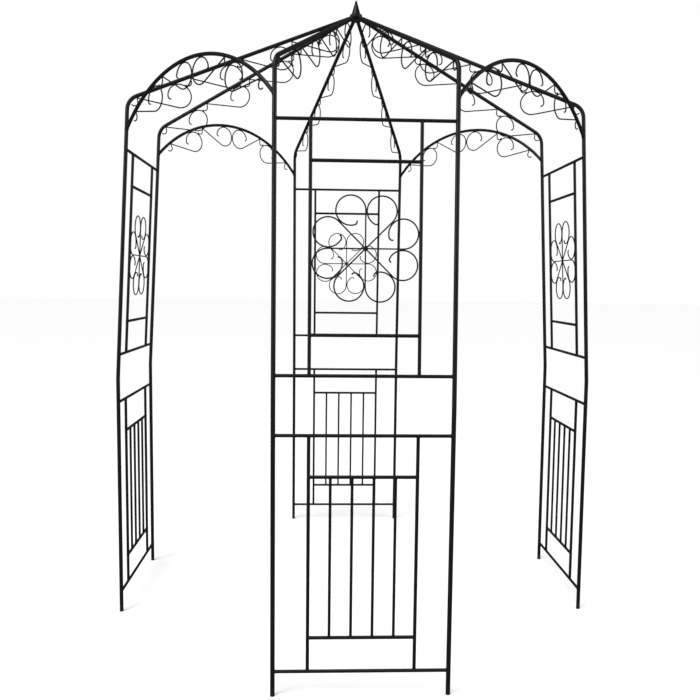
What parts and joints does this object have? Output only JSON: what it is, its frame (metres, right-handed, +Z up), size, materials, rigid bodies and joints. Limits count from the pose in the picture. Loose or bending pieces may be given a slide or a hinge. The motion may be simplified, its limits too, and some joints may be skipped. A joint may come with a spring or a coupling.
{
  "type": "round garden pavilion of arches and trellis panels",
  "caption": "Open round garden pavilion of black steel tube: trellis panels with wire rosettes, arches between them, and rafters with scrolls that rise to a pointed hub.",
  "frame": {"origin": "on the ground at the middle of the pavilion", "axes": "+Z up, -Y towards the front panel, +X towards the right panel"},
  "size_m": [2.016, 2.016, 2.6846],
  "materials": {
    "tube": "satin black powder coat",
    "wire": "satin black powder coat over round wire",
    "spike": "satin black powder coat"
  },
  "bodies": {
    "root": {"front_lower_panel": "tube", "right_lower_panel": "tube", "back_lower_panel": "tube", "left_lower_panel": "tube", "front_upper_panel": "tube", "right_upper_panel": "tube", "back_upper_panel": "tube", "left_upper_panel": "tube", "front_rosette": "wire", "right_rosette": "wire", "back_rosette": "wire", "left_rosette": "wire", "front_left_rafter": "tube", "front_right_rafter": "tube", "right_left_rafter": "tube", "right_right_rafter": "tube", "back_left_rafter": "tube", "back_right_rafter": "tube", "left_left_rafter": "tube", "left_right_rafter": "tube", "front_left_rafter_scrolls": "wire", "front_right_rafter_scrolls": "wire", "right_left_rafter_scrolls": "wire", "right_right_rafter_scrolls": "wire", "back_left_rafter_scrolls": "wire", "back_right_rafter_scrolls": "wire", "left_left_rafter_scrolls": "wire", "left_right_rafter_scrolls": "wire", "front_right_arch": "tube", "back_right_arch": "tube", "back_left_arch": "tube", "front_left_arch": "tube", "front_right_arch_scrolls": "wire", "back_right_arch_scrolls": "wire", "back_left_arch_scrolls": "wire", "front_left_arch_scrolls": "wire", "roof_hub": "tube", "finial_spike": "spike"}
  },
  "joints": []
}
